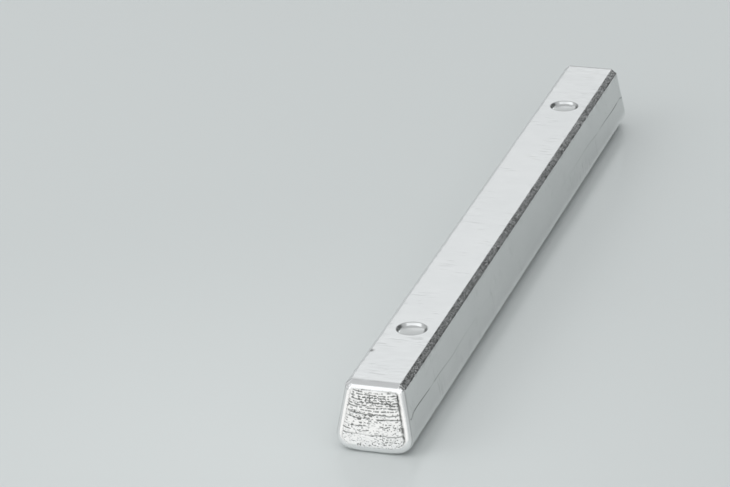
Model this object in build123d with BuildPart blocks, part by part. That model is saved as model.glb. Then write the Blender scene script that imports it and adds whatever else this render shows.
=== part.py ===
from build123d import *
import math
import os

# overall size of the bar, to its corners before they are rounded
bar_length = 282.0
base_width = 26.8
bar_height = 22.8
side_draft = 10.0
end_draft = 7.5

# long edges of the section
top_chamfer = 1.6
base_corner_radius = 5.0

# underside: a flat land in the middle, rising in wide arcs to both sides
land_width = 6.0
crown_rise = 1.6

# rounding all round both end faces
end_edge_radius = 2.2

# two shallow round recesses in the upper face, with dished floors
recess_diameter = 9.6
recess_depth = 1.6
recess_wall = 1.1
recess_from_end = 44.0
recess_mouth_radius = 0.35
recess_floor_radius = 0.7

# sizes that follow from the ones above
top_half = base_width / 2 - bar_height * math.tan(math.radians(side_draft))
rise_half = base_width / 2 - crown_rise * math.tan(math.radians(side_draft))
end_setback = bar_height * math.tan(math.radians(end_draft))
recess_y = bar_length / 2 - recess_from_end
recess_radius = recess_diameter / 2
dish_rise = recess_depth - recess_wall
dish_radius = (recess_radius**2 + dish_rise**2) / (2 * dish_rise)

# two sizes this close count as equal when corners and edges are picked
tolerance = 0.01

with BuildPart() as solder_bar:
    # trapezoid section, narrow face up, run along the whole length
    with BuildSketch(Plane.XZ.offset(-bar_length / 2)) as section:
        with BuildLine():
            land = Line((-land_width / 2, 0), (land_width / 2, 0))
            right_rise = TangentArc(land @ 1, (rise_half, crown_rise), tangent=land % 1)
            right_side = Line(right_rise @ 1, (top_half, bar_height))
            top = Line(right_side @ 1, (-top_half, bar_height))
            left_side = Line(top @ 1, (-rise_half, crown_rise))
            TangentArc(land @ 0, left_side @ 1, tangent=-(land % 0))
        make_face()
        upper_corners = section.vertices().group_by(Axis.Y)[-1]
        lower_corners = section.vertices().filter_by(
            lambda v: abs(abs(v.X) - rise_half) < tolerance and abs(v.Y - crown_rise) < tolerance
        )
        chamfer(upper_corners, length=top_chamfer)
        fillet(lower_corners, radius=base_corner_radius)
    extrude(amount=bar_length)

    # both ends lean inwards towards the upper face
    with BuildSketch(Plane.YZ.offset(-base_width)) as side_view:
        with BuildLine():
            Polyline(
                (-bar_length / 2, 0),
                (bar_length / 2, 0),
                (bar_length / 2 - end_setback, bar_height),
                (-bar_length / 2 + end_setback, bar_height),
                close=True,
            )
        make_face()
    extrude(amount=2 * base_width, mode=Mode.INTERSECT)

    # rounded border of each end face
    near_end = solder_bar.faces().sort_by(Axis.Y)[0]
    far_end = solder_bar.faces().sort_by(Axis.Y)[-1]
    fillet(near_end.edges() + far_end.edges(), radius=end_edge_radius)

    # round recesses on the centre line of the upper face, deepest in the middle
    with BuildPart(mode=Mode.PRIVATE) as recess:
        Cylinder(recess_radius, recess_depth, align=(Align.CENTER, Align.CENTER, Align.MIN))
        with Locations((0, 0, dish_radius)):
            Sphere(dish_radius, rotation=(0, -90, 0), mode=Mode.INTERSECT)
    with Locations((0, recess_y, bar_height - recess_depth), (0, -recess_y, bar_height - recess_depth)):
        add(recess.part, mode=Mode.SUBTRACT)
    round_edges = solder_bar.edges().filter_by(GeomType.CIRCLE)
    recess_edges = round_edges.filter_by(lambda e: abs(e.radius - recess_radius) < tolerance)
    fillet(recess_edges.group_by(Axis.Z)[0], radius=recess_floor_radius)
    round_edges = solder_bar.edges().filter_by(GeomType.CIRCLE)
    recess_edges = round_edges.filter_by(lambda e: abs(e.radius - recess_radius) < tolerance)
    fillet(recess_edges.group_by(Axis.Z)[-1], radius=recess_mouth_radius)

solder_bar.part.label = "solder_bar"

os.makedirs("parts", exist_ok=True)
export_step(solder_bar.part, "parts/solder_bar.step")
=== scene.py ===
import math

import bpy
import numpy as np
from mathutils import Matrix, Vector
from mathutils.geometry import delaunay_2d_cdt


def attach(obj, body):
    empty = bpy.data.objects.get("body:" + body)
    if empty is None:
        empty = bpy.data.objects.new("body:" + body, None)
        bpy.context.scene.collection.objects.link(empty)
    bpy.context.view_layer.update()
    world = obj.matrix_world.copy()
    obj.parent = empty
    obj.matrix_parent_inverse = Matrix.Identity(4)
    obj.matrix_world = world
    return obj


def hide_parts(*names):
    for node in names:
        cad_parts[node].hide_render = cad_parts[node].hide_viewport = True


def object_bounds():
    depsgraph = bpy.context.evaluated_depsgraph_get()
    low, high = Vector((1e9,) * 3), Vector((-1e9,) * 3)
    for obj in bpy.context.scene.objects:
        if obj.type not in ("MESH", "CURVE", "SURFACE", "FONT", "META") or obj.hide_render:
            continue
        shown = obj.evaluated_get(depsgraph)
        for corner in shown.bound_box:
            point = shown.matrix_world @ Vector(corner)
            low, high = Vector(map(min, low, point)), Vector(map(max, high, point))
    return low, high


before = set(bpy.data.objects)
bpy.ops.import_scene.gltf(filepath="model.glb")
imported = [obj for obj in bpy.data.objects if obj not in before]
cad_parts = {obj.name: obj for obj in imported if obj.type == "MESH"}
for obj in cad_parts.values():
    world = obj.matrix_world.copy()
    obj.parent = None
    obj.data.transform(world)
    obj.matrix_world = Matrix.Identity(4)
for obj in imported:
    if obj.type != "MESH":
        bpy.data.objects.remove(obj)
cad_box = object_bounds()

# sizes of the bar in millimetres, the same as the solid's
MM = 0.001
LENGTH = 282.0
BASE_WIDTH = 26.8
HEIGHT = 22.8
SIDE_LEAN = math.tan(math.radians(10.0))
END_LEAN = math.tan(math.radians(7.5))
CHAMFER = 1.6
BASE_CORNER = 5.0
LAND = 6.0
CROWN_RISE = 1.6
END_RADIUS = 2.2
RECESS_RADIUS = 4.8
RECESS_DEPTH = 1.6
RECESS_WALL = 1.1
RECESS_FROM_END = 44.0
MOUTH_RADIUS = 0.35
FLOOR_RADIUS = 0.7

# the two long edges of each chamfer are slightly softened, and never by less than the second value
RIM_RADIUS, RIM_LEAST = 0.6, 0.25
SHOULDER_RADIUS, SHOULDER_LEAST = 0.45, 0.2

HALF = LENGTH / 2
FLAT_END = HALF - END_RADIUS
TOP_HALF = BASE_WIDTH / 2 - HEIGHT * SIDE_LEAN
RIM_X = TOP_HALF - CHAMFER
RECESS_Y = HALF - RECESS_FROM_END
SIDE_HALF = BASE_WIDTH / 2 - CROWN_RISE * SIDE_LEAN
CROWN_RADIUS = ((SIDE_HALF - LAND / 2) ** 2 + CROWN_RISE ** 2) / (2 * CROWN_RISE)


# noise and fades

HASH_X, HASH_Y, HASH_Z, HASH_SEED = 374761393, 668265263, 1440662683, 974711
HASH_MIX = 1274126177
HASH_BITS = 0xFFFFFF


def lattice(ix, iy, iz, seed):
    """A repeatable number from -1 to 1 for each whole-number point."""
    h = ix * HASH_X + iy * HASH_Y + iz * HASH_Z + seed * HASH_SEED
    h = (h ^ (h >> 13)) * HASH_MIX
    h = (h ^ (h >> 16)) & HASH_BITS
    return h / (HASH_BITS / 2) - 1.0


def noise(p, grain, seed):
    """Smooth noise of the points p (mm); grain is its size along x, y and z."""
    q = np.asarray(p, float) / np.asarray(grain, float)
    cell = np.floor(q).astype(np.int64)
    f = q - cell
    f = f * f * f * (f * (f * 6 - 15) + 10)
    total = 0.0
    for dx in (0, 1):
        wx = f[:, 0] if dx else 1 - f[:, 0]
        for dy in (0, 1):
            wy = f[:, 1] if dy else 1 - f[:, 1]
            for dz in (0, 1):
                wz = f[:, 2] if dz else 1 - f[:, 2]
                corner = lattice(cell[:, 0] + dx, cell[:, 1] + dy, cell[:, 2] + dz, seed)
                total = total + wx * wy * wz * corner
    return total


def layered(p, layers, base=0.0):
    """The base plus layers of noise, each given by its height, its grain and its seed."""
    return sum((height * noise(p, grain, seed) for height, grain, seed in layers), base)


def ramp(a, b, v):
    """0 where v is at a, 1 where it is at b, smooth between."""
    t = np.clip((v - a) / (b - a), 0, 1)
    return t * t * (3 - 2 * t)


def ridge(v, centre, width):
    """1 where v is at the centre, and next to nothing two widths away."""
    return np.exp(-((v - centre) / width) ** 2)


# the section's outline

def unit(v):
    return v / np.linalg.norm(v)


def meet(p, u, q, v):
    """Where the line through p along u meets the line through q along v."""
    d = u[0] * v[1] - u[1] * v[0]
    t = ((q[0] - p[0]) * v[1] - (q[1] - p[1]) * v[0]) / d
    return p + u * t


def inward(way):
    """To the right of the way of travel, which is clockwise round the section."""
    return np.array([way[1], -way[0]])


def sweep(centre, start, end, count):
    """Points on the arc round centre from start to end, the short way."""
    a = math.atan2(start[1] - centre[1], start[0] - centre[0])
    b = math.atan2(end[1] - centre[1], end[0] - centre[0])
    turn = (b - a + math.pi) % (2 * math.pi) - math.pi
    radius = np.linalg.norm(start - centre)
    angles = a + turn * np.linspace(0, 1, count + 1)
    return [centre + radius * np.array([math.cos(t), math.sin(t)]) for t in angles]


def bend(corner, before, after, radius, count):
    """Points of a rounded corner between two ways of travel."""
    turn = math.acos(np.clip(before @ after, -1, 1))
    reach = radius * math.tan(turn / 2)
    start = corner - before * reach
    return sweep(start + inward(before) * radius, start, corner + after * reach, count)


# steps in each stretch of the outline
TOP_STEPS = 17
RIM_STEPS = 4
BEVEL_STEPS = 3
SHOULDER_STEPS = 3
FOOT_STEPS = 7
CROWN_STEPS = 7
LAND_STEPS = 2

# points down a side face: some above the lap line, some round it by their height above it, some below
LAP_HEIGHT = 12.3
LAP_COLUMNS = np.array([0.8, 0.45, 0.25, 0.1, 0.0, -0.1, -0.25, -0.45, -0.8])
ABOVE_LAP, BELOW_LAP = 6, 4


def chamfer_arcs(inset, down):
    """The softened rim and shoulder of the chamfer, and the shoulder's sharp corner."""
    across = np.array([1.0, 0.0])
    rim = np.array([RIM_X, HEIGHT])
    shoulder = np.array([TOP_HALF, HEIGHT]) + down * CHAMFER
    slope = unit(shoulder - rim)
    rim_corner = meet(rim + inward(across) * inset, across, rim + inward(slope) * inset, slope)
    shoulder_corner = meet(rim_corner, slope, shoulder + inward(down) * inset, down)
    rim_arc = bend(rim_corner, across, slope, max(RIM_RADIUS - inset, RIM_LEAST), RIM_STEPS)
    shoulder_radius = max(SHOULDER_RADIUS - inset, SHOULDER_LEAST)
    return rim_arc, bend(shoulder_corner, slope, down, shoulder_radius, SHOULDER_STEPS), shoulder


def base_arcs(inset, down, shoulder):
    """The foot, with its centre BASE_CORNER in from the side and from the crown, and the crown."""
    crown_centre = np.array([LAND / 2, CROWN_RADIUS])
    side_point = shoulder + inward(down) * BASE_CORNER
    gap = side_point - crown_centre
    b = gap @ down
    c = gap @ gap - (CROWN_RADIUS - BASE_CORNER) ** 2
    foot_centre = side_point + down * (-b + math.sqrt(b * b - c))
    foot_start = foot_centre - inward(down) * (BASE_CORNER - inset)
    foot_end = crown_centre + unit(foot_centre - crown_centre) * (CROWN_RADIUS - inset)
    foot_arc = sweep(foot_centre, foot_start, foot_end, FOOT_STEPS)
    return foot_arc, sweep(crown_centre, foot_end, np.array([LAND / 2, inset]), CROWN_STEPS)


def side_heights(top, low, lap_shift):
    """Heights of the points down a side face, without its two ends."""
    lap = LAP_HEIGHT + lap_shift + LAP_COLUMNS
    above = np.linspace(top, lap[0], ABOVE_LAP + 2)[1:-1]
    below = np.linspace(lap[-1], low, BELOW_LAP + 2)[1:-1]
    return np.concatenate([above, lap, below])


def half_outline(inset, lap_shift):
    """The +X half of the section, from the middle of the upper face to the middle of the land."""
    down = unit(np.array([SIDE_LEAN, -1.0]))
    rim_arc, shoulder_arc, shoulder = chamfer_arcs(inset, down)
    foot_arc, crown_arc = base_arcs(inset, down, shoulder)
    bevel_top, bevel = rim_arc[-1], shoulder_arc[0] - rim_arc[-1]
    side_top, side = shoulder_arc[-1], foot_arc[0] - shoulder_arc[-1]
    heights = side_heights(side_top[1], foot_arc[0][1], lap_shift)
    loop = [np.array([rim_arc[0][0] * s / TOP_STEPS, HEIGHT - inset]) for s in range(TOP_STEPS)]
    loop += rim_arc
    loop += [bevel_top + bevel * s / BEVEL_STEPS for s in range(1, BEVEL_STEPS)]
    loop += shoulder_arc
    loop += [side_top + side * (side_top[1] - height) / -side[1] for height in heights]
    loop += foot_arc + crown_arc[1:]
    loop += [np.array([LAND / 2 * (1 - s / LAND_STEPS), inset]) for s in range(1, LAND_STEPS + 1)]
    return np.array(loop)


def outline(inset, lap_shifts=(0.0, 0.0)):
    """Closed loop of (x, z), clockwise from the middle of the upper face, moved in by inset."""
    right, left = (half_outline(inset, shift) for shift in lap_shifts)
    return np.vstack([right, left[1:-1][::-1] * np.array([-1.0, 1.0])])


# the lap line: the phase of its waves on each side, and each wave's height, length and share of the phase
LAP_PHASES = ((1, 0.4), (-1, 2.1))
LAP_WAVES = ((0.25, 11.0, 1), (0.14, 4.3, 2))
# how far it dips near each end of the bar, how far from that end, and how wide the dip is
LAP_DIP, LAP_DIP_SPOT = 0.8, (4, 2.0)


def lap_course(y, phase):
    """How far the lap line strays from its mean height at y, in millimetres."""
    waves = sum(height * np.sin(y / length + share * phase) for height, length, share in LAP_WAVES)
    return waves - LAP_DIP * ridge(np.maximum(HALF - np.abs(y), 0), *LAP_DIP_SPOT)


def ring(inset, y):
    """The outline at y, as points of a bar with square ends."""
    loop = outline(inset, [lap_course(y, phase) for _, phase in LAP_PHASES])
    return np.column_stack([loop[:, 0], np.full(len(loop), y), loop[:, 1]])


def lean(square):
    """Square ends are leant inwards towards the upper face."""
    leant = np.array(square, float)
    leant[:, 1] *= 1 - leant[:, 2] * END_LEAN / HALF
    return leant


# the bar's surface as it grows

class Skin:
    """Points in millimetres, and faces made of their numbers."""

    def __init__(self):
        self.points = []
        self.faces = []
        # how far each point lies within the flat of an end face; less than 0 outside it
        self.within = []

    def add(self, point, within=-END_RADIUS):
        self.points.append(np.array(point, float))
        self.within.append(within)
        return len(self.points) - 1

    def join(self, outer, inner):
        """A band of faces between two closed loops with as many points."""
        for k in range(len(outer)):
            n = (k + 1) % len(outer)
            self.faces.append((outer[k], outer[n], inner[n], inner[k]))

    def close(self, loop, middle):
        """Triangles from a closed loop to the point in its middle."""
        for k in range(len(loop)):
            self.faces.append((loop[k], loop[(k + 1) % len(loop)], middle))

    def trimmed(self):
        """Points, within and faces, all without the points that no face uses."""
        used = np.zeros(len(self.points), bool)
        for face in self.faces:
            used[list(face)] = True
        number = np.cumsum(used) - 1
        trimmed_faces = [tuple(int(number[v]) for v in face) for face in self.faces]
        return np.array(self.points)[used], np.array(self.within)[used], trimmed_faces


skin = Skin()

# rings along the bar: END_GAP apart near its ends, PATCH_GAP by a recess and MIDDLE_GAP between the two
ROUND_STEPS = 9
END_GAP = 0.6
MIDDLE_GAP = 0.9
PATCH_GAP = 0.5
# each recess fills a square hole in the rings, this long and this many columns wide either way
PATCH_HALF = 6.0
PATCH_COLUMNS = 13
# what the lean leaves of a length at the height of the upper face
TOP_SHARE = 1 - HEIGHT * END_LEAN / HALF


def ring_places():
    """Places of the rings between the end roundings, and the number of the first in each span."""
    near = (RECESS_Y - PATCH_HALF) / TOP_SHARE
    far = (RECESS_Y + PATCH_HALF) / TOP_SHARE
    spans = [
        (-FLAT_END, -far, END_GAP),
        (-far, -near, PATCH_GAP),
        (-near, near, MIDDLE_GAP),
        (near, far, PATCH_GAP),
        (far, FLAT_END, END_GAP),
    ]
    places = []
    firsts = []
    for start, end, gap in spans:
        firsts.append(len(places))
        places += list(np.linspace(start, end, int(round((end - start) / gap)) + 1)[:-1])
    return places + [FLAT_END], firsts


def end_rounding():
    """The inset and place of each ring of the far end's rounding, outwards."""
    turns = [math.pi / 2 * k / ROUND_STEPS for k in range(1, ROUND_STEPS + 1)]
    return [(END_RADIUS * (1 - math.cos(t)), FLAT_END + END_RADIUS * math.sin(t)) for t in turns]


span_places, span_firsts = ring_places()
AROUND = len(outline(0.0))
# the inset and place of every ring, from one end to the other
COURSES = [(inset, -y) for inset, y in reversed(end_rounding())]
COURSES += [(0.0, y) for y in span_places]
COURSES += end_rounding()
# the side of each recess, and the first and last ring of its hole
HOLES = [
    (-1, ROUND_STEPS + span_firsts[1], ROUND_STEPS + span_firsts[2]),
    (1, ROUND_STEPS + span_firsts[3], ROUND_STEPS + span_firsts[4]),
]


def in_hole(j, c):
    """Whether the face at ring j and column c is left out for a recess."""
    c = c if c < AROUND / 2 else c - AROUND
    return any(first <= j < last and -PATCH_COLUMNS <= c < PATCH_COLUMNS for _, first, last in HOLES)


def add_rings():
    for inset, y in COURSES:
        for point in lean(ring(inset, y)):
            skin.add(point, inset - END_RADIUS)
    for j in range(len(COURSES) - 1):
        for c in range(AROUND):
            if not in_hole(j, c):
                a = j * AROUND + c
                b = j * AROUND + (c + 1) % AROUND
                skin.faces.append((a, b, b + AROUND, a + AROUND))


# round recesses: loops from the square hole in the rings down to the recess floor

# the wall slopes as the casting's does; the solid's is upright
WALL_SLOPE = math.radians(24.0)
COLLAR_RADII = (5.6, 5.35)
MOUTH_STEPS = 5
FILLET_STEPS = 7
FILLET_SETBACK = 0.30
DISH_RADII = (3.6, 3.2, 2.8, 2.4, 2.0, 1.55, 1.1, 0.65, 0.3)
DISH_RISE = RECESS_DEPTH - RECESS_WALL
DISH_CURVE = (RECESS_RADIUS ** 2 + DISH_RISE ** 2) / (2 * DISH_RISE)
# the floor fillet's centre, out from the axis and down, and how the dished floor tilts where they meet
FILLET_OUT = RECESS_RADIUS - FLOOR_RADIUS - FILLET_SETBACK
FILLET_TILT = math.asin(FILLET_OUT / (DISH_CURVE - FLOOR_RADIUS))
FILLET_DOWN = RECESS_DEPTH - DISH_CURVE + (DISH_CURVE - FLOOR_RADIUS) * math.cos(FILLET_TILT)


def recess_profile():
    """Radius and height of each loop of a recess, from the upper face to near its middle."""
    profile = [(radius, 0.0) for radius in COLLAR_RADII]
    for k in range(MOUTH_STEPS + 1):
        t = (math.pi / 2 - WALL_SLOPE) * k / MOUTH_STEPS
        radius = RECESS_RADIUS + MOUTH_RADIUS * (1 - math.sin(t))
        profile.append((radius, -MOUTH_RADIUS * (1 - math.cos(t))))
    fillet = []
    for k in range(FILLET_STEPS + 1):
        t = WALL_SLOPE + (math.pi / 2 - FILLET_TILT - WALL_SLOPE) * k / FILLET_STEPS
        radius = FILLET_OUT + FLOOR_RADIUS * math.cos(t)
        fillet.append((radius, -FILLET_DOWN - FLOOR_RADIUS * math.sin(t)))
    wall_top, wall_foot = profile[-1], fillet[0]
    profile.append(((wall_top[0] + wall_foot[0]) / 2, (wall_top[1] + wall_foot[1]) / 2))
    profile += fillet
    for radius in DISH_RADII:
        rise = DISH_CURVE - math.sqrt(DISH_CURVE ** 2 - radius ** 2)
        profile.append((radius, rise - RECESS_DEPTH))
    return profile


def add_recess(side, first, last):
    """Loops that close the square hole between rings first and last."""
    border = [(first, c) for c in range(-PATCH_COLUMNS, PATCH_COLUMNS)]
    border += [(j, PATCH_COLUMNS) for j in range(first, last)]
    border += [(last, c) for c in range(PATCH_COLUMNS, -PATCH_COLUMNS, -1)]
    border += [(j, -PATCH_COLUMNS) for j in range(last, first, -1)]
    loop = [j * AROUND + c % AROUND for j, c in border]
    centre_y = side * RECESS_Y
    angles = [math.atan2(skin.points[v][1] - centre_y, skin.points[v][0]) for v in loop]
    for radius, height in recess_profile():
        circle = [(radius * math.cos(a), centre_y + radius * math.sin(a), HEIGHT + height) for a in angles]
        inner = [skin.add(point) for point in circle]
        skin.join(loop, inner)
        loop = inner
    skin.close(loop, skin.add((0.0, centre_y, HEIGHT - RECESS_DEPTH)))


# end faces: a fine net of triangles inside the last ring

# flow lines: height at the middle, how much the middle sags, how deep the line is
FLOW_LINES = (
    (16.4, 0.8, 0.6),
    (14.9, 1.0, 0.5),
    (12.6, 1.3, 1.0),
    (11.2, 1.5, 0.9),
    (8.6, 1.2, 0.5),
    (6.0, 1.0, 0.8),
)
# their waves: height, turn for each millimetre across, and turn for each millimetre of the line's height
FLOW_WAVES = ((0.14, 0.9, 2), (0.06, 2.3, 1))
# how a sagging course climbs: height and power of each term, and how far out the climb goes on
CLIMB = ((0.35, 2), (0.5, 6))
CLIMB_LIMIT = 1.1
# the net: how far it reaches across, its gap, the gap of its rows and how far its points stray
NET_HALF = 13
NET_GAP = 0.16
NET_ROW_GAP = NET_GAP * 0.87
NET_STRAY = 0.03
# three rows of points run along each flow line, and the net leaves them some room
ALONG_HALF = 12
ALONG_GAP = 0.25
ALONG_OFFSETS = (-0.14, 0.0, 0.14)
ALONG_ROOM = 0.22
# loops of points run round inside the border, and the net leaves them some room
BORDER_LOOPS = (0.10, 0.20, 0.33)
BORDER_GAP = 0.24
BORDER_ROOM = 0.42
# what delaunay_2d_cdt gives back, and how near two points lie that it takes for one
TRIANGLES_INSIDE = 1
SAME_POINT = 1e-6


def climb(x, z):
    """How a sagging course climbs from its middle to x: hardly at first, then steeply by the border."""
    share = np.clip(x / (BASE_WIDTH / 2 - END_RADIUS - z * SIDE_LEAN), -CLIMB_LIMIT, CLIMB_LIMIT)
    return sum(height * share ** power for height, power in CLIMB)


def flow_height(x, line):
    """Height of a flow line at x."""
    middle, sag, _ = line
    z = middle + sag * climb(x, middle)
    for height, across, upward in FLOW_WAVES:
        z = z + height * np.sin(x * across + upward * middle)
    return z


def inside(loop, p):
    """Which points of p lie within the closed loop."""
    hit = np.zeros(len(p), bool)
    for a, b in zip(loop, np.roll(loop, -1, axis=0)):
        if a[1] != b[1]:
            crosses = (a[1] > p[:, 1]) != (b[1] > p[:, 1])
            x = (b[0] - a[0]) * (p[:, 1] - a[1]) / (b[1] - a[1]) + a[0]
            hit ^= crosses & (p[:, 0] < x)
    return hit


def spaced(loop, gap):
    """Points set gap apart round a closed loop."""
    closed = np.vstack([loop, loop[:1]])
    way = np.concatenate([[0], np.cumsum(np.linalg.norm(np.diff(closed, axis=0), axis=1))])
    at = np.linspace(0, way[-1], int(way[-1] / gap))[:-1]
    return np.column_stack([np.interp(at, way, closed[:, 0]), np.interp(at, way, closed[:, 1])])


def distance_from(loop, p):
    """How far each point of p lies from the closed loop."""
    nearest = np.full(len(p), np.inf)
    for start, end in zip(loop, np.roll(loop, -1, axis=0)):
        way = end - start
        share = np.clip((p - start) @ way / (way @ way), 0, 1)
        nearest = np.minimum(nearest, np.linalg.norm(p - start - share[:, None] * way, axis=1))
    return nearest


def end_net():
    """Points (x, z) of an end face inside its last ring."""
    random = np.random.default_rng(7)
    columns = np.arange(-NET_HALF, NET_HALF, NET_GAP)
    levels = np.arange(0, HEIGHT, NET_ROW_GAP)
    net = np.array([(x + NET_GAP / 2 * (k % 2), z) for k, z in enumerate(levels) for x in columns])
    net += random.uniform(-NET_STRAY, NET_STRAY, net.shape)
    along = np.arange(-ALONG_HALF, ALONG_HALF, ALONG_GAP)
    rows = []
    for line in FLOW_LINES:
        net = net[np.abs(net[:, 1] - flow_height(net[:, 0], line)) > ALONG_ROOM]
        for off in ALONG_OFFSETS:
            rows.append(np.column_stack([along + off, flow_height(along, line) + off]))
    net = np.vstack([net] + rows)
    net = net[inside(outline(END_RADIUS + BORDER_ROOM), net)]
    return np.vstack([net] + [spaced(outline(END_RADIUS + inset), BORDER_GAP) for inset in BORDER_LOOPS])


def add_end(side, j, net, depths):
    """Triangles of one end face, between the points of ring j and those of the net."""
    loop = [j * AROUND + c for c in range(AROUND)]
    flat = [Vector((skin.points[v][0], skin.points[v][2])) for v in loop] + [Vector(p) for p in net]
    edges = [(k, (k + 1) % AROUND) for k in range(AROUND)]
    verts, _, triangles, origin, _, _ = delaunay_2d_cdt(flat, edges, [], TRIANGLES_INSIDE, SAME_POINT)
    index = []
    for v, sources in zip(verts, origin):
        known = [s for s in sources if s < AROUND]
        if known:
            index.append(loop[known[0]])
        else:
            place = (v.x, side * (HALF - v.y * END_LEAN), v.y)
            index.append(skin.add(place, depths[sources[0] - AROUND]))
    for triangle in triangles:
        face = [index[k] for k in triangle]
        skin.faces.append(tuple(face) if side < 0 else tuple(reversed(face)))


add_rings()
for hole in HOLES:
    add_recess(*hole)
net_points = end_net()
net_depths = distance_from(outline(END_RADIUS), net_points)
add_end(-1, 0, net_points, net_depths)
add_end(1, len(COURSES) - 1, net_points, net_depths)

points, within, faces = skin.trimmed()
mesh = bpy.data.meshes.new("cast_bar")
mesh.from_pydata([tuple(p * MM) for p in points], [], faces)
mesh.validate()
normals = np.empty(len(points) * 3)
mesh.vertices.foreach_get("normal", normals)
normals = normals.reshape(-1, 3)

# casting relief: moves along the normal in millimetres

# A fade says where a mark is nothing and where it is full, as ramp takes them.
# A spot says where a mark is strongest and how wide it is, as ridge takes them.
# Noise is a grain and a seed, and layers of noise each have a height before them.

# where each face of the bar is
END_FADE = (-0.25, 0.25)
INNER_FADE = (0.15, 0.42)
ROUND_FADE = (-END_RADIUS, -END_RADIUS + 0.1)
RECESS_FADE = (5.3, 4.6)
TOP_FACES_UP = (0.9, 0.99)
SIDE_FACES_OUT = (0.90, 0.97)
CHAMFER_FACES_OUT, CHAMFER_FACES_UP = (0.25, 0.5), (0.2, 0.4)

x, y, z = points.T
facing_out = np.abs(normals[:, 0])
facing_up = normals[:, 2]
from_end = HALF - z * END_LEAN - np.abs(y)
from_recess = np.hypot(x, np.abs(y) - RECESS_Y)
upper = z > HEIGHT / 2
on_end = ramp(*END_FADE, within)
inner_end = on_end * ramp(*INNER_FADE, within)
on_round = ramp(*ROUND_FADE, within) * (1 - on_end)
in_recess = ramp(*RECESS_FADE, from_recess) * upper
on_top = ramp(*TOP_FACES_UP, facing_up) * (1 - on_end) * (1 - in_recess)
on_side = ramp(*SIDE_FACES_OUT, facing_out) * (1 - in_recess)
on_chamfer = ramp(*CHAMFER_FACES_OUT, facing_out) * ramp(*CHAMFER_FACES_UP, facing_up)
on_chamfer = on_chamfer * (1 - on_end) * (1 - in_recess)

# slow swelling of every face, and a livelier edge along the chamfers, most of all near the ends
SWELLS = ((0.035, (9, 24, 7), 1), (0.012, (4, 8, 3), 2))
EDGE_BUMPS = ((0.055, (4, 2.4, 4), 3), (0.035, (2, 1.1, 2), 4))
BY_RIM, BY_RIM_FADE, BY_RIM_SHARE = 8.0, (1.6, 0.2), 0.5
LIVELIER, LIVELIER_REACH = 0.8, 25.0


def swelling():
    by_rim = ramp(*BY_RIM_FADE, np.abs(np.abs(x) - BY_RIM)) * on_top
    lively = layered(points, EDGE_BUMPS) * (1 + LIVELIER * np.exp(-from_end / LIVELIER_REACH))
    return layered(points, SWELLS) + (on_chamfer + BY_RIM_SHARE * by_rim) * lively


# soft wrinkles and folds on the upper face, higher near its ends, and how far the whole face sinks
WRINKLES = ((3.4, 1.7, 9), 5)
WRINKLE_HEIGHT, WRINKLE_END_HEIGHT = 0.014, 0.040
FOLDS, FOLD_SPOT = ((1.0, (7, 4, 9), 6), (0.35, (2.2, 2.2, 9), 7)), (0, 0.08)
FOLD_PATCHES, FOLD_PATCH_FADE = ((9, 8, 9), 8), (0.0, 0.5)
FOLD_DEPTH, FOLD_END_DEPTH = 0.020, 0.060
WRINKLE_REACH = 30.0
TOP_SINK = 0.06

near_end = np.exp(-from_end / WRINKLE_REACH)


def wrinkles():
    return on_top * (WRINKLE_HEIGHT + WRINKLE_END_HEIGHT * near_end) * noise(points, *WRINKLES)


def folds():
    patches = ramp(*FOLD_PATCH_FADE, noise(points, *FOLD_PATCHES))
    fold = ridge(layered(points, FOLDS), *FOLD_SPOT) * patches
    return on_top * (fold * (FOLD_DEPTH + FOLD_END_DEPTH * near_end) + TOP_SINK)


# one small nick in the -X rim, a few centimetres from the near end
NICK_X, NICK_Y = -7.7, -RECESS_Y - 18.0
NICK_WIDTH, NICK_LENGTH = 0.6, 0.8
NICK_DEPTH = 0.25


def nick_mark():
    return np.exp(-((x - NICK_X) / NICK_WIDTH) ** 2 - ((y - NICK_Y) / NICK_LENGTH) ** 2) * upper


# end faces: short pits in rows, which follow the sagging courses and crowd in the upper third
SAG = 1.05
SAG_DRIFT = ((0.3, (5, 50, 4), 9),)
ROW_GAP = 0.82
ROW_DRIFT = ((0.16, (4, 50, 3), 18), (0.08, (1.3, 50, 1.2), 26))
# how far apart the noise of neighbouring rows lies, and how far it slants within a row
ROW_APART, ROW_SLANT = 3, 1.5
STROKES = ((1.0, (0.5, 1, 1), 15), (0.5, (0.26, 1, 1), 27))
STROKE_FADE, STROKE_LESS = (0.0, 0.35), 0.16
UPPER_FADE, UPPER_MORE = (12, 16), 0.45
BAND_SPOT, BAND_MORE = (17.2, 1.3), 0.3
PIT_PATCHES, PIT_PATCH_FADE, PIT_PATCH_LESS = ((5, 60, 2.2), 14), (-0.6, 0.5), 0.2
PIT_UPPER_FADE, PIT_UPPER_MORE = (6, 15), 0.9
PIT_WIDTH, PIT_DEPTH, PIT_SHADE = 0.18, 0.035, 1.25


def sagged_points():
    """The points, each at the height that its sagging course has in the middle."""
    level = points.copy()
    level[:, 2] -= SAG * climb(x, z) - layered(points, SAG_DRIFT)
    return level


def pits_in_rows():
    patchy = noise(sagged, *PIT_PATCHES) + PIT_UPPER_MORE * ramp(*PIT_UPPER_FADE, z) - PIT_PATCH_LESS
    course = layered(points, ROW_DRIFT, sagged[:, 2])
    row = np.round(course / ROW_GAP)
    in_row = np.column_stack([x, np.sign(y), ROW_APART * row + ROW_SLANT * (course / ROW_GAP - row)])
    stroke = layered(in_row, STROKES)
    stroke += UPPER_MORE * ramp(*UPPER_FADE, z) + BAND_MORE * ridge(z, *BAND_SPOT) - STROKE_LESS
    in_stroke = ridge(course, row * ROW_GAP, PIT_WIDTH) * ramp(*STROKE_FADE, stroke)
    return in_stroke * ramp(*PIT_PATCH_FADE, patchy)


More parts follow.
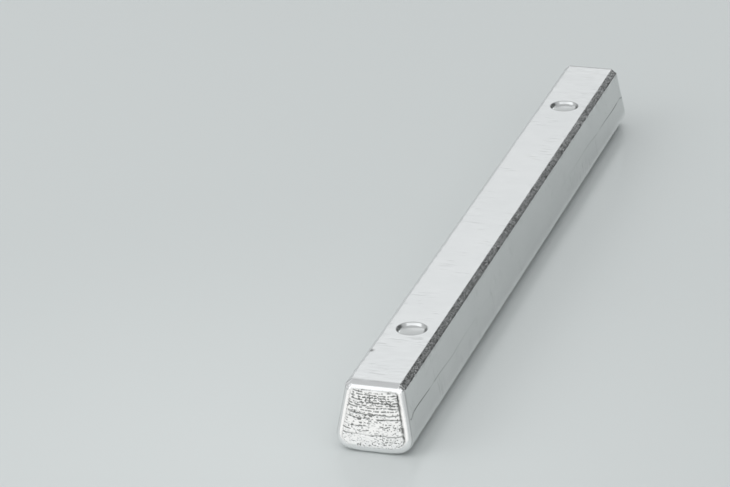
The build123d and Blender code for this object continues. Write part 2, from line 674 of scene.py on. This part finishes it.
# end faces: sagging ripple, and broken flow lines with a low lip under each
RIPPLES = ((0.018, (1.3, 40, 0.6), 10), (0.009, (0.7, 40, 0.4), 11), (0.022, (6, 40, 1.8), 12))
FLOW_SPOT, FLOW_DEPTH, FLOW_SHADE = (0, 0.19), 0.075, 1.1
FLOW_GAP_GRAIN, FLOW_GAP_SEED, FLOW_GAP_FADE = (3.0, 60, 4), 20, (-0.75, 0.0)
LIP_SPOT, LIP_HEIGHT = (-0.45, 0.3), 0.018


def ripple_and_flow():
    ripple = layered(sagged, RIPPLES)
    flow = np.zeros(len(points))
    for k, line in enumerate(FLOW_LINES):
        off = z - flow_height(x, line)
        shown = ramp(*FLOW_GAP_FADE, noise(points, FLOW_GAP_GRAIN, FLOW_GAP_SEED + k))
        flow += shown * line[2] * ridge(off, *FLOW_SPOT)
        ripple += LIP_HEIGHT * line[2] * ridge(off, *LIP_SPOT)
    return ripple, flow


# end faces: a ragged crease inside the border, further in, wider and deeper towards +X
CREASE_RIGHT = (0, 7)
CREASE_IN, CREASE_RIGHT_IN = 0.15, 0.20
CREASE_WIDTH, CREASE_RIGHT_WIDTH = 0.15, 0.22
CREASE_SPREAD, CREASE_SPREAD_MEAN = ((0.6, (9, 50, 1.1), 16),), 0.9
CREASE_RAGS, CREASE_RAGS_MEAN = ((0.5, (3, 50, 0.9), 17),), 0.75
CREASE_SHARE, CREASE_RIGHT_SHARE = 0.3, 0.7
CREASE_TOP_FADE, CREASE_LOW_FADE = (HEIGHT - 1.2, HEIGHT - 3.2), (3.0, 4.6)
CREASE_DEPTH, CREASE_SHADE = 0.13, 1.5


def crease_mark():
    to_right = ramp(*CREASE_RIGHT, x)
    spread = layered(points, CREASE_SPREAD, CREASE_SPREAD_MEAN)
    width = CREASE_WIDTH + CREASE_RIGHT_WIDTH * to_right * spread
    mark = ridge(within - CREASE_IN, CREASE_RIGHT_IN * to_right, width)
    mark = mark * (CREASE_SHARE + CREASE_RIGHT_SHARE * to_right)
    mark = mark * layered(points, CREASE_RAGS, CREASE_RAGS_MEAN)
    return mark * (ramp(*CREASE_TOP_FADE, z) * ramp(*CREASE_LOW_FADE, z))


# the lap line along each side: broken here and there, full near the ends and fading further on
LAP_WIDTH, LAP_DEPTH, LAP_SHADE = 0.19, 0.06, 1.1
LAP_FULL, LAP_REACH = 12, 30.0
LAP_GAPS, LAP_GAP_FADE = ((30, 6, 30), 13), (-0.7, 0.1)


def lap_mark():
    mark = np.zeros(len(points))
    for side, phase in LAP_PHASES:
        mark += ridge(z - LAP_HEIGHT, lap_course(y, phase), LAP_WIDTH) * (x * side > 0)
    fade = np.exp(-np.maximum(from_end - LAP_FULL, 0) / LAP_REACH)
    fade = fade * ramp(*LAP_GAP_FADE, noise(points, *LAP_GAPS))
    return mark * (on_side * fade)


sagged = sagged_points()
nick = nick_mark()
pit = pits_in_rows()
ripple, flow = ripple_and_flow()
crease = crease_mark()
lap = lap_mark()
move = swelling() + wrinkles() - folds() - NICK_DEPTH * nick
move += inner_end * (ripple - PIT_DEPTH * pit - FLOW_DEPTH * np.clip(flow, 0, 1))
move -= CREASE_DEPTH * crease
move -= LAP_DEPTH * lap

# nothing stands proud of the solid's box, and the underside only moves inwards, by a smaller share
FACES_DOWN = -0.3
DOWN_SHARE = 0.4
underside = facing_up < FACES_DOWN
move[underside] = np.minimum(DOWN_SHARE * move[underside], 0)
low, high = (np.array([v / MM for v in corner]) for corner in cad_box)
moved = np.clip(points + normals * move[:, None], low, high)
mesh.vertices.foreach_set("co", (moved * MM).ravel())
mesh.update()

# painted shade: the +X part of a recess's wall is darker, and a thin dark line runs round its mouth
WALL_SHADE, WALL_SPOT, WALL_FADE = 1.5, (4.2, 0.5), (3.0, 4.3)
MOUTH_SHADE, MOUTH_SPOT = 0.4, (5.0, 0.13)


def recess_shade():
    wall = WALL_SHADE * ridge(from_recess, *WALL_SPOT) * in_recess * ramp(*WALL_FADE, x)
    return wall + MOUTH_SHADE * ridge(from_recess, *MOUTH_SPOT) * upper


# painted shade: a thin dark line runs round each rounded border, near the sides and the upper face
BORDER_SHADE_FACES = (0.5, 0.7)
SIDE_BORDER_SHADE_SPOT, SIDE_BORDER_SHADES = (1.1, 0.22), (0.55, 0.6)
TOP_BORDER_SHADE_SPOT, TOP_BORDER_SHADE = (1.9, 0.3), 0.6
BORDER_SHADE_FADE = (1.5, 4.5)


def border_shade_lines():
    border_shade = ridge(from_end, *SIDE_BORDER_SHADE_SPOT) * ramp(*BORDER_SHADE_FACES, facing_out)
    border_shade = border_shade * np.where(x > 0, *SIDE_BORDER_SHADES)
    border_shade += TOP_BORDER_SHADE * ridge(from_end, *TOP_BORDER_SHADE_SPOT) * ramp(*BORDER_SHADE_FACES, facing_up)
    return border_shade * ramp(*BORDER_SHADE_FADE, z)


# painted shade: both edges of the chamfer on the +X side are darkened in broken lines
RIM_LINE_SPOT, SHOULDER_LINE_SPOT, EDGE_LINE_SHADE = (0.35, 0.2), (0.35, 0.22), 0.5
EDGE_GAPS, EDGE_GAP_FADE = ((9, 1.6, 9), 19), (-0.5, 0.3)
EDGE_END_FADE = (1.5, 4.0)


def edge_lines():
    from_rim = np.hypot(x - RIM_X, z - HEIGHT)
    from_shoulder = np.hypot(x - RIM_X - CHAMFER * (1 + SIDE_LEAN), z - HEIGHT + CHAMFER)
    dashed = ramp(*EDGE_GAP_FADE, noise(moved, *EDGE_GAPS)) * ramp(*EDGE_END_FADE, from_end)
    lines = ridge(from_rim, *RIM_LINE_SPOT) + ridge(from_shoulder, *SHOULDER_LINE_SPOT)
    return EDGE_LINE_SHADE * (lines * dashed) * on_chamfer


# painted shade: darker in the hollows of the flow lines, pits, crease, lap line and nick, on the recess
# walls and round their mouths, along the +X chamfer edges and round the rounded borders
painted_crevice_shade = inner_end * (FLOW_SHADE * flow + PIT_SHADE * pit)
painted_crevice_shade = painted_crevice_shade + CREASE_SHADE * crease + LAP_SHADE * lap + recess_shade()
painted_crevice_shade += edge_lines() + nick + border_shade_lines()

# what the metal's material reads at each point
# the chamfer's dark grain is real grain with painted shade, full on the +X side and faint on the -X side
GRAIN_AND_SHADE_RIGHT, GRAIN_AND_SHADE_LEFT = 1.0, 0.15
# painted shade: each recess takes a darker colour, most towards its -Y side
RECESS_DIM_FADE = (4.2, 1.0)
masks = {
    "end_mask": on_end,
    # painted highlight: the rounded borders and the -X chamfer take a paler colour
    "round_highlight_mask": np.maximum(on_round, on_chamfer * (x < 0)),
    "side_mask": on_side,
    "top_mask": on_top,
    "edge_mask": on_chamfer * np.where(x > 0, GRAIN_AND_SHADE_RIGHT, GRAIN_AND_SHADE_LEFT),
    "painted_recess_shade": in_recess * ramp(*RECESS_DIM_FADE, y - np.sign(y) * RECESS_Y),
    "painted_crevice_shade": np.clip(painted_crevice_shade, 0, 1),
    "sag_height": sagged[:, 2] * MM,
}
for name, values in masks.items():
    layer = mesh.attributes.new(name, "FLOAT", "POINT")
    layer.data.foreach_set("value", values.astype(np.float32))
mesh.shade_smooth()
bar = bpy.data.objects.new("cast_bar", mesh)
bpy.context.scene.collection.objects.link(bar)


# materials

class Nodes:
    """Short calls that write a node tree."""

    def __init__(self, tree):
        self.tree = tree
        tree.nodes.clear()

    def add(self, kind, inputs=None, **settings):
        node = self.tree.nodes.new(kind)
        for key, value in settings.items():
            setattr(node, key, value)
        for key, value in (inputs or {}).items():
            if isinstance(value, bpy.types.NodeSocket):
                self.tree.links.new(value, node.inputs[key])
            else:
                node.inputs[key].default_value = value
        return node

    def math(self, operation, *values, clamp=False):
        inputs = dict(enumerate(values))
        return self.add("ShaderNodeMath", inputs, operation=operation, use_clamp=clamp).outputs[0]

    def product(self, first, *others):
        for other in others:
            first = self.math("MULTIPLY", first, other)
        return first

    def attribute(self, name):
        return self.add("ShaderNodeAttribute", attribute_name=name).outputs["Fac"]

    def object_place(self):
        return self.add("ShaderNodeTexCoord").outputs["Object"]

    def axes(self, place):
        return self.add("ShaderNodeSeparateXYZ", {0: place}).outputs

    def distance(self, place, point):
        inputs = {0: place, 1: point}
        return self.add("ShaderNodeVectorMath", inputs, operation="DISTANCE").outputs["Value"]

    def ray(self, kind):
        return self.add("ShaderNodeLightPath").outputs[kind]

    def smooth(self, value, low, high, to_low=0.0, to_high=1.0):
        inputs = {"Value": value, "From Min": low, "From Max": high, "To Min": to_low, "To Max": to_high}
        return self.add("ShaderNodeMapRange", inputs, interpolation_type="SMOOTHSTEP").outputs[0]

    def noise(self, place, scale, detail=2.0, distortion=0.0):
        """Noise with so many grains to the metre, everywhere alike or along each of x, y and z."""
        if isinstance(scale, tuple):
            place = self.add("ShaderNodeMapping", {"Vector": place, "Scale": scale}).outputs[0]
            scale = 1.0
        inputs = {"Vector": place, "Scale": scale, "Detail": detail, "Distortion": distortion}
        return self.add("ShaderNodeTexNoise", inputs).outputs["Fac"]

    def relief(self, height, strength, distance, normal=None):
        inputs = {"Height": height, "Strength": strength, "Distance": distance}
        if normal is not None:
            inputs["Normal"] = normal
        return self.add("ShaderNodeBump", inputs).outputs[0]

    def blend(self, factor, a, b):
        return self.add("ShaderNodeMix", {0: factor, 6: a, 7: b}, data_type="RGBA").outputs[2]

    def blend_shaders(self, factor, a, b):
        return self.add("ShaderNodeMixShader", {0: factor, 1: a.outputs[0], 2: b.outputs[0]})

    def emission(self, colour):
        return self.add("ShaderNodeEmission", {"Color": colour, "Strength": 1.0})

    def surface(self, shader):
        self.add("ShaderNodeOutputMaterial", {"Surface": shader.outputs[0]})


def new_material(name):
    material = bpy.data.materials.new(name)
    material.use_nodes = True
    return material, Nodes(material.node_tree)


# the solder's marks as noise: grains to the metre, detail and distortion, and each mark's fade
DASHES, DASH_FADE = ((1500.0, 300.0, 2500.0), 1.0, 0.15), (0.44, 0.34)
DASH_PATCHES, DASH_PATCH_FADE = ((110.0, 110.0, 260.0), 2.0), (0.32, 0.56)
EDGE_GRAIN, EDGE_GRAIN_FADE = (1900.0, 4.0), (0.53, 0.47)
SCRATCHES, SCRATCH_FADE = ((2600.0, 110.0, 2600.0), 1.0), (0.27, 0.17)
STREAKS, STREAK_FADE = ((170.0, 1300.0, 170.0), 2.0, 0.3), (0.44, 0.32)
STREAK_PATCHES, STREAK_PATCH_FADE = (90.0, 1.0), (0.49, 0.63)
DRAGS, DRAG_FADE = ((300.0, 2600.0, 230.0), 2.0), (0.42, 0.30)
DRAG_PATCHES, DRAG_PATCH_FADE = (130.0, 1.0), (0.50, 0.66)
LAYERS = ((500.0, 22.0, 500.0), 2.0)
CLOUDS = (70.0, 4.0)
FINE_GRAIN = (2600.0, 3.0)

# how dark each mark is; the dashes and crevices are painted shade, and the chamfer grain is partly painted
# shade
DASH_DARK, CREVICE_DARK, EDGE_GRAIN_DARK = 0.85, 0.92, 0.75
STREAK_DARK, SCRATCH_DARK, DRAG_DARK = 0.18, 0.15, 0.30

# fine relief: its strength and its height in metres
DASH_BUMP, EDGE_GRAIN_BUMP, FINE_GRAIN_BUMP = (0.5, 0.00015), (0.6, 0.00022), (0.06, 0.00008)
LAYER_BUMP, DRAG_BUMP, SCRATCH_BUMP = (0.25, 0.00010), (0.25, 0.00008), (0.2, 0.00006)

CLOUD_DIM, CLOUD_BRIGHT = (0.79, 0.80, 0.80, 1), (0.88, 0.885, 0.88, 1)
# the painted shade colour of the recesses, and how much of it they take
RECESS_SHADE_COLOUR, RECESS_SHARE = (0.56, 0.57, 0.565, 1), 0.9
END_COLOUR = (0.94, 0.94, 0.935, 1)
# the painted highlight colour of the rounded borders and the -X chamfer
ROUND_HIGHLIGHT_COLOUR = (0.97, 0.97, 0.97, 1)
DARK_COLOUR = (0.13, 0.135, 0.13, 1)
ROUGH, ROUGHER_IN_CLOUDS, ROUGHER_ON_END, ROUGHER_ON_EDGE = 0.13, 0.10, 0.12, -0.04


def solder_material():
    """Bright cast metal with painted shade in its pits, creases and chamfer grain, a painted highlight on
    its rounded borders, and darker streaks and scratches.
    """
    material, n = new_material("cast_solder")
    place = n.object_place()
    along_x, along_y, _ = n.axes(place)
    end_mask = n.attribute("end_mask")
    side_mask = n.attribute("side_mask")
    edge_mask = n.attribute("edge_mask")
    top_mask = n.attribute("top_mask")

    # short dashes that follow the sagging courses of an end face, darkened as painted shade in its pits
    courses = {0: along_x, 1: along_y, 2: n.attribute("sag_height")}
    in_courses = n.add("ShaderNodeCombineXYZ", courses).outputs[0]
    dashes = n.noise(in_courses, *DASHES)
    dash_patch = n.smooth(n.noise(in_courses, *DASH_PATCHES), *DASH_PATCH_FADE)
    pits = n.product(n.smooth(dashes, *DASH_FADE), dash_patch, end_mask)

    # grain of the chamfer, dark far more on the +X side: real grain with painted shade
    edge_grain = n.noise(place, *EDGE_GRAIN)
    speck = n.product(n.smooth(edge_grain, *EDGE_GRAIN_FADE), edge_mask)

    # scratches along the upper face, and streaks across it
    scratches = n.smooth(n.noise(place, *SCRATCHES), *SCRATCH_FADE)
    streaks = n.smooth(n.noise(place, *STREAKS), *STREAK_FADE)
    streak_patch = n.smooth(n.noise(place, *STREAK_PATCHES), *STREAK_PATCH_FADE)
    streak = n.product(streak_patch, top_mask, streaks)

    # drag marks down the side faces, and layers along them
    drags = n.smooth(n.noise(place, *DRAGS), *DRAG_FADE)
    drag_patch = n.smooth(n.noise(place, *DRAG_PATCHES), *DRAG_PATCH_FADE)
    drag = n.product(drag_patch, side_mask, drags)
    layers = n.noise(place, *LAYERS)
    cloudy = n.noise(place, *CLOUDS)
    fine_grain = n.noise(place, *FINE_GRAIN)

    # painted shade in the pits, hollows and chamfer grain, together with the real streaks, scratches and
    # drag marks
    dark = n.product(pits, DASH_DARK)
    marks_and_shade = (
        (n.attribute("painted_crevice_shade"), CREVICE_DARK),
        (speck, EDGE_GRAIN_DARK),
        (streak, STREAK_DARK),
        (n.product(scratches, top_mask), SCRATCH_DARK),
        (drag, DRAG_DARK),
    )
    for mark, share in marks_and_shade:
        dark = n.math("ADD", dark, n.product(mark, share), clamp=True)

    colour = n.blend(cloudy, CLOUD_DIM, CLOUD_BRIGHT)
    colour = n.blend(n.product(n.attribute("painted_recess_shade"), RECESS_SHARE), colour, RECESS_SHADE_COLOUR)
    colour = n.blend(end_mask, colour, END_COLOUR)
    colour = n.blend(n.attribute("round_highlight_mask"), colour, ROUND_HIGHLIGHT_COLOUR)
    colour = n.blend(dark, colour, DARK_COLOUR)

    rough = n.math("MULTIPLY_ADD", cloudy, ROUGHER_IN_CLOUDS, ROUGH)
    rough = n.math("MULTIPLY_ADD", end_mask, ROUGHER_ON_END, rough)
    rough = n.math("MULTIPLY_ADD", edge_mask, ROUGHER_ON_EDGE, rough)

    bump = None
    reliefs = (
        (n.product(n.math("SUBTRACT", dashes, pits), end_mask), DASH_BUMP),
        (n.product(edge_grain, edge_mask), EDGE_GRAIN_BUMP),
        (fine_grain, FINE_GRAIN_BUMP),
        (n.product(layers, side_mask), LAYER_BUMP),
        (n.product(drag, -1.0), DRAG_BUMP),
        (n.math("SUBTRACT", 1.0, scratches), SCRATCH_BUMP),
    )
    for height, size in reliefs:
        bump = n.relief(height, *size, bump)
    metal = {"Base Color": colour, "Metallic": 1.0, "Roughness": rough, "Normal": bump}
    n.surface(n.add("ShaderNodeBsdfPrincipled", metal))
    return material


mesh.materials.append(solder_material())
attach(bar, "root")
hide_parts("solder_bar")

# floor, in metres

FLOOR_HALF = 6.0
FLOOR_CORNERS = ((-1, -1), (1, -1), (1, 1), (-1, 1))
FLOOR_DIM, FLOOR_BRIGHT = (0.615, 0.645, 0.64, 1), (0.63, 0.66, 0.655, 1)
FLOOR_PATCHES = (3.0, 1.0)
FLOOR_ROUGH, FLOOR_IOR = 0.25, 1.5
NEAR_FOOT = (0.0, -HALF * MM, 0.0)
# a painted pool of light makes the floor a little paler right in front of the near end
GLOW = (-0.03, -HALF * MM - 0.02, 0.0)
GLOW_REACH, GLOW_SHARE, GLOW_COLOUR = 0.22, 0.28, (0.88, 0.91, 0.90, 1)
# a white patch on the floor in front of the near end glows for glossy rays alone, as a painted reflection
# in the metal: the slant and fade of its two sides, its reach
REFLECTION_PATCH_EAST, REFLECTION_PATCH_EAST_FADE = 0.75, 0.03
REFLECTION_PATCH_WEST, REFLECTION_PATCH_WEST_FADE = -0.35, 0.012
REFLECTION_PATCH_REACH, REFLECTION_PATCH_COLOUR = 0.30, (1.0, 1.0, 0.985, 1)
# far off, the floor runs into the wall without an edge
FAR_FADE = (0.7, 2.6)
WALL_COLOUR = (0.56, 0.59, 0.59, 1)


def floor_material():
    """A pale floor with a painted pool of light; only the metal mirrors the white patch, a painted
    reflection, and only the camera sees the wall's colour.
    """
    material, n = new_material("pale_floor")
    place = n.object_place()
    pale = n.blend(n.noise(place, *FLOOR_PATCHES), FLOOR_DIM, FLOOR_BRIGHT)
    glow = n.smooth(n.distance(place, GLOW), GLOW_REACH, 0.0, 0.0, GLOW_SHARE)
    paint = {"Base Color": n.blend(glow, pale, GLOW_COLOUR), "Roughness": FLOOR_ROUGH, "IOR": FLOOR_IOR}
    plain = n.add("ShaderNodeBsdfPrincipled", paint)

    floor_x, floor_y, _ = n.axes(place)
    sides = []
    for slant, fade in ((REFLECTION_PATCH_EAST, REFLECTION_PATCH_EAST_FADE), (REFLECTION_PATCH_WEST, REFLECTION_PATCH_WEST_FADE)):
        past_side = n.math("SUBTRACT", -HALF * MM, n.math("MULTIPLY_ADD", floor_x, slant, floor_y))
        sides.append(n.smooth(past_side, 0.0, fade))
    painted_reflection = n.product(*sides, n.smooth(n.distance(place, NEAR_FOOT), REFLECTION_PATCH_REACH, REFLECTION_PATCH_REACH / 2))
    near = n.blend_shaders(n.product(painted_reflection, n.ray("Is Glossy Ray")), plain, n.emission(REFLECTION_PATCH_COLOUR))

    from_middle = n.add("ShaderNodeVectorMath", {0: place}, operation="LENGTH").outputs["Value"]
    far = n.product(n.smooth(from_middle, *FAR_FADE), n.ray("Is Camera Ray"))
    n.surface(n.blend_shaders(far, near, n.emission(WALL_COLOUR)))
    return material


floor_points = [(FLOOR_HALF * east, FLOOR_HALF * north, 0) for east, north in FLOOR_CORNERS]
floor_mesh = bpy.data.meshes.new("floor")
floor_mesh.from_pydata(floor_points, [], [(0, 1, 2, 3)])
floor = bpy.data.objects.new("floor", floor_mesh)
bpy.context.scene.collection.objects.link(floor)
floor_mesh.materials.append(floor_material())

# light: two square lamps, with their places and widths in metres and their power in watts

LAMPS_AIM = (0, 0, 0)
KEY_PLACE, KEY_WIDTH, KEY_POWER = (-0.80, -0.55, 0.85), 0.9, 2.5
TOP_PLACE, TOP_WIDTH, TOP_POWER = (0, 0, 1.6), 1.6, 5.0


def softbox(name, place, width, power):
    """A square lamp aimed at the bar. It lights the floor; the metal mirrors the room alone."""
    light = bpy.data.lights.new(name, "AREA")
    light.shape = "RECTANGLE"
    light.size = width
    light.size_y = width
    light.energy = power
    lamp = bpy.data.objects.new(name, light)
    lamp.location = place
    lamp.rotation_euler = (Vector(LAMPS_AIM) - Vector(place)).to_track_quat("-Z", "Y").to_euler()
    lamp.visible_glossy = False
    lamp.visible_camera = False
    bpy.context.scene.collection.objects.link(lamp)


softbox("key_softbox", KEY_PLACE, KEY_WIDTH, KEY_POWER)
softbox("top_softbox", TOP_PLACE, TOP_WIDTH, TOP_POWER)

# the room that the metal mirrors: how bright each zone is
ROOM_COLOUR = (0.965, 0.988, 1.0, 1)
CEILING, FRONT, STRIP, DIM_CORNER, DIM_HORIZON = 0.55, 1.2, 1.7, 0.18, 0.5
BACKDROP_FOOT, BACKDROP_CLIMB = 0.55, 0.80
# a zone is where its fades meet; each has an axis, where it is nothing and where it is full
BACKDROP_ZONE = (("north", 0.1, 0.5), ("height", 0.80, 0.55))
FRONT_ZONE = (("north", -0.05, -0.5), ("height", 0.76, 0.52), ("spread", 0.62, 0.45))
CORNER_ZONE = (("east", 0.16, 0.30), ("north", 0.0, 0.35), ("height", 0.75, 0.45), ("height", 0.03, 0.13))
HORIZON_ZONE = (("height", 0.20, 0.05), ("east", 0.10, -0.10), ("north", 0.6, 0.8))
STRIP_ZONE = (
    ("east", -0.13, -0.06),
    ("east", 0.21, 0.14),
    ("height", 0.20, 0.28),
    ("height", 0.55, 0.45),
    ("north", 0.6, 0.8),
)
# the front box stands round a line a little west, and widens upwards
FRONT_WEST = 0.12
FRONT_WIDER, FRONT_WIDER_FADE = 0.30, (0.28, 0.38)


def studio_world():
    """A plain studio of soft zones round the bar; the camera sees only the wall's colour."""
    world = bpy.data.worlds.new("studio")
    world.use_nodes = True
    n = Nodes(world.node_tree)
    east, north, height = n.axes(n.add("ShaderNodeTexCoord").outputs["Generated"])
    spread = n.math("ABSOLUTE", n.math("ADD", east, FRONT_WEST))
    spread = n.math("MULTIPLY_ADD", n.smooth(height, *FRONT_WIDER_FADE), -FRONT_WIDER, spread)
    axes = {"east": east, "north": north, "height": height, "spread": spread}

    def zone(fades):
        return n.product(*[n.smooth(axes[axis], nothing, full) for axis, nothing, full in fades])

    backdrop_level = n.math("MULTIPLY_ADD", height, BACKDROP_CLIMB, BACKDROP_FOOT)
    level = n.product(zone(BACKDROP_ZONE), n.math("SUBTRACT", backdrop_level, CEILING))
    level = n.math("ADD", level, CEILING)
    level = n.math("MULTIPLY_ADD", zone(FRONT_ZONE), FRONT - CEILING, level)
    level = n.math("MULTIPLY_ADD", zone(STRIP_ZONE), n.math("SUBTRACT", STRIP, level), level)
    for fades, share in ((CORNER_ZONE, DIM_CORNER), (HORIZON_ZONE, DIM_HORIZON)):
        level = n.product(level, n.math("MULTIPLY_ADD", zone(fades), share - 1.0, 1.0))
    room = n.add("ShaderNodeBackground", {"Color": ROOM_COLOUR, "Strength": level})
    wall = n.add("ShaderNodeBackground", {"Color": WALL_COLOUR, "Strength": 1.0})
    surroundings = n.blend_shaders(n.ray("Is Camera Ray"), room, wall)
    n.add("ShaderNodeOutputWorld", {"Surface": surroundings.outputs[0]})
    return world


bpy.context.scene.world = studio_world()

# camera, where the photograph was taken from; the focal length is in pixels and the distance in metres

FRAME_WIDTH = 730
SENSOR = 36.0
FOCAL = 4000.0
CLIP_END = 50.0
AZIMUTH, ELEVATION, ROLL = (math.radians(v) for v in (17.53, 23.60, -1.64))
DISTANCE = 1.2267
PIXEL = DISTANCE / FOCAL
# how far right of and below the middle of the picture the near end's foot is, in its pixels
NEAR_FOOT_RIGHT, NEAR_FOOT_BELOW = 8.20, 211.06


def photograph_camera():
    forward = Vector((-math.sin(AZIMUTH), math.cos(AZIMUTH), 0.0)) * math.cos(ELEVATION)
    forward.z = -math.sin(ELEVATION)
    level_right = Vector((math.cos(AZIMUTH), math.sin(AZIMUTH), 0.0))
    raised = level_right.cross(forward)
    right = level_right * math.cos(ROLL) + raised * math.sin(ROLL)
    up = raised * math.cos(ROLL) - level_right * math.sin(ROLL)
    lens = bpy.data.cameras.new("camera")
    lens.sensor_fit = "HORIZONTAL"
    lens.sensor_width = SENSOR
    lens.lens = FOCAL / FRAME_WIDTH * SENSOR
    lens.clip_end = CLIP_END
    camera = bpy.data.objects.new("camera", lens)
    spot = Vector(NEAR_FOOT) - forward * DISTANCE
    spot = spot - right * (NEAR_FOOT_RIGHT * PIXEL) + up * (NEAR_FOOT_BELOW * PIXEL)
    camera.matrix_world = Matrix.Translation(spot) @ Matrix((right, up, -forward)).transposed().to_4x4()
    bpy.context.scene.collection.objects.link(camera)
    return camera


bpy.context.scene.camera = photograph_camera()
bpy.context.scene.view_settings.view_transform = "Standard"
